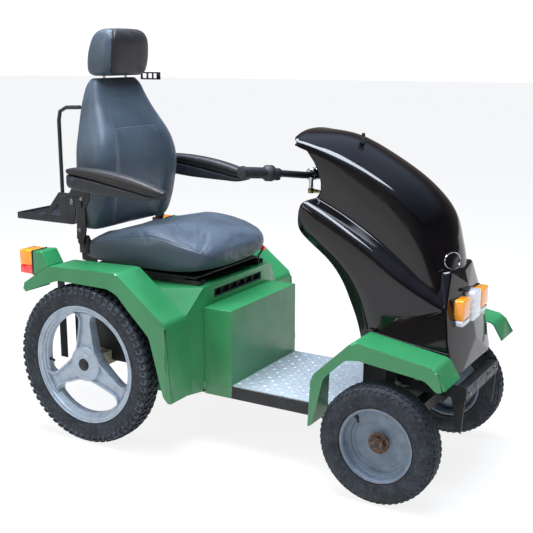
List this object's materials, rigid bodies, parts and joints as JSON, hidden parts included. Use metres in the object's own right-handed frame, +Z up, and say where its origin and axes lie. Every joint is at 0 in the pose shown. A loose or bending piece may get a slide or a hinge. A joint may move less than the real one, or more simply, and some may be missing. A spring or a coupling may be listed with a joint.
{
  "type": "mobility scooter",
  "caption": "Rough-ground mobility scooter with a high reclining seat, large cast rear wheels, a black cowl over the steering and a flat chequer-plate floor.",
  "frame": {"origin": "on the ground under the middle of the machine's bounding box", "axes": "+X forward in the direction of travel, +Y to the rider's left, +Z up"},
  "size_m": [1.748, 0.844, 1.376],
  "materials": {
    "green_body": "green gel-coated glass fibre",
    "gloss_black": "high-gloss black glass fibre",
    "satin_black": "satin black plastic",
    "black_steel": "black powder-coated steel",
    "cream_paint": "cream paint",
    "tyre": "black tyre rubber",
    "cast_silver": "silver painted cast aluminium",
    "wheel_paint": "grey painted pressed steel",
    "chequer": "bare chequer plate",
    "bare_steel": "bright steel",
    "chrome": "chrome plate",
    "brass": "dull brass",
    "vinyl": "blue-grey vinyl upholstery",
    "arm_plastic": "dark grey moulded plastic",
    "grip_rubber": "black grip rubber",
    "amber": "amber lens",
    "clear_lens": "clear lens over white",
    "red_knob": "red ball knob on a black lever",
    "battery_case": "battery case"
  },
  "bodies": {
    "chassis": {"chassis_frame": "black_steel", "rear_axle_casing": "cream_paint", "drive_motor": "black_steel", "front_axle_beam": "black_steel", "battery_right": "battery_case", "battery_left": "battery_case", "motor_controller": "bare_steel", "seat_box": "green_body", "vent_insert": "satin_black", "battery_cover": "green_body", "rear_fender_right": "green_body", "rear_fender_left": "green_body", "rear_lamp_right": "amber", "rear_lamp_left": "amber", "footplate": "chequer", "floor_surround": "black_steel", "front_fender_right": "green_body", "front_fender_left": "green_body", "front_cowl": "gloss_black", "headlamp": "clear_lens", "front_indicator_right": "amber", "front_indicator_left": "amber", "leg_shield": "satin_black", "front_guard": "black_steel", "column_mast": "black_steel", "hood_clamp": "satin_black", "seat_rails": "black_steel", "dash_panel": "satin_black"},
    "steering": {"steering_column": "black_steel", "handlebar": "black_steel", "bar_clamp": "chrome", "column_link": "brass", "grip_left": "grip_rubber", "control_housing": "satin_black"},
    "throttle_grip": {"grip_right": "grip_rubber"},
    "right_knuckle": {"knuckle_right": "black_steel"},
    "left_knuckle": {"knuckle_left": "black_steel"},
    "track_rod": {"tie_rod": "bare_steel"},
    "front_right_wheel": {"front_rim_right": "wheel_paint", "front_tyre_right": "tyre"},
    "front_left_wheel": {"front_rim_left": "wheel_paint", "front_tyre_left": "tyre"},
    "rear_right_wheel": {"rear_rim_right": "cast_silver", "rear_tyre_right": "tyre"},
    "rear_left_wheel": {"rear_rim_left": "cast_silver", "rear_tyre_left": "tyre"},
    "key": {"key_switch": "chrome"},
    "dial": {"speed_dial": "satin_black"},
    "seat": {"seat_pan": "black_steel", "seat_cushion": "vinyl"},
    "latch": {"slide_latch": "red_knob"},
    "back": {"backrest": "vinyl", "back_frame": "black_steel", "rear_carrier": "black_steel"},
    "right_armrest": {"armrest_pad_right": "vinyl", "armrest_shell_right": "arm_plastic"},
    "left_armrest": {"armrest_pad_left": "vinyl", "armrest_shell_left": "arm_plastic"},
    "head": {"headrest": "vinyl", "headrest_frame": "chrome"}
  },
  "joints": [
    {"name": "rear_right_wheel_spin", "type": "hinge", "parent": "chassis", "child": "rear_right_wheel", "pos_m": [-0.361, -0.3845, 0.27395], "axis": [0, 1, 0], "continuous": true},
    {"name": "rear_left_wheel_spin", "type": "hinge", "parent": "chassis", "child": "rear_left_wheel", "pos_m": [-0.361, 0.3845, 0.27395], "axis": [0, 1, 0], "continuous": true},
    {"name": "steering_turn", "type": "hinge", "parent": "chassis", "child": "steering", "pos_m": [0.418, 0, 0.905], "axis": [-0.3681, 0, 0.9298], "range_deg": [-27, 27]},
    {"name": "right_knuckle_turn", "type": "hinge", "parent": "chassis", "child": "right_knuckle", "pos_m": [0.669, -0.236, 0.1823], "axis": [0, 0, 1], "range_deg": [-27.5, 27.5]},
    {"name": "left_knuckle_turn", "type": "hinge", "parent": "chassis", "child": "left_knuckle", "pos_m": [0.669, 0.236, 0.1823], "axis": [0, 0, 1], "range_deg": [-27.5, 27.5]},
    {"name": "track_rod_shift", "type": "slide", "parent": "chassis", "child": "track_rod", "axis": [0, 1, 0], "range_m": [-0.036, 0.036]},
    {"name": "front_right_wheel_spin", "type": "hinge", "parent": "right_knuckle", "child": "front_right_wheel", "pos_m": [0.669, -0.306, 0.1823], "axis": [0, 1, 0], "continuous": true},
    {"name": "front_left_wheel_spin", "type": "hinge", "parent": "left_knuckle", "child": "front_left_wheel", "pos_m": [0.669, 0.306, 0.1823], "axis": [0, 1, 0], "continuous": true},
    {"name": "throttle_twist", "type": "hinge", "parent": "steering", "child": "throttle_grip", "pos_m": [0.24, -0.128, 0.924], "axis": [-0.2331, -0.9664, 0.108], "range_deg": [0, 50], "stiffness_Nm_per_rad": 0.6},
    {"name": "key_turn", "type": "hinge", "parent": "chassis", "child": "key", "pos_m": [0.457, -0.07, 0.93], "axis": [-0.9674, 0, 0.2534], "range_deg": [0, 90]},
    {"name": "speed_dial_turn", "type": "hinge", "parent": "chassis", "child": "dial", "pos_m": [0.457, 0.07, 0.93], "axis": [-0.9674, 0, 0.2534], "range_deg": [0, 270]},
    {"name": "seat_slide", "type": "slide", "parent": "chassis", "child": "seat", "axis": [1, 0, 0], "range_m": [-0.055, 0.055]},
    {"name": "latch_lift", "type": "hinge", "parent": "seat", "child": "latch", "pos_m": [-0.088, 0.16, 0.553], "axis": [-1, 0, 0], "range_deg": [0, 12], "stiffness_Nm_per_rad": 2},
    {"name": "back_recline", "type": "hinge", "parent": "seat", "child": "back", "pos_m": [-0.51, 0, 0.65], "axis": [0, 1, 0], "range_deg": [-25, 12]},
    {"name": "right_armrest_flip", "type": "hinge", "parent": "back", "child": "right_armrest", "pos_m": [-0.483, -0.272, 0.868], "axis": [0, -1, 0], "range_deg": [0, 85]},
    {"name": "left_armrest_flip", "type": "hinge", "parent": "back", "child": "left_armrest", "pos_m": [-0.483, 0.272, 0.868], "axis": [0, -1, 0], "range_deg": [0, 85]},
    {"name": "headrest_height", "type": "slide", "parent": "back", "child": "head", "axis": [0, 0, 1], "range_m": [0, 0.05]}
  ],
  "couplings": [
    {"joint": "right_knuckle_turn", "follows": "steering_turn", "ratio": 1},
    {"joint": "left_knuckle_turn", "follows": "steering_turn", "ratio": 1},
    {"joint": "track_rod_shift", "follows": "steering_turn", "m_per_rad": -0.075}
  ]
}
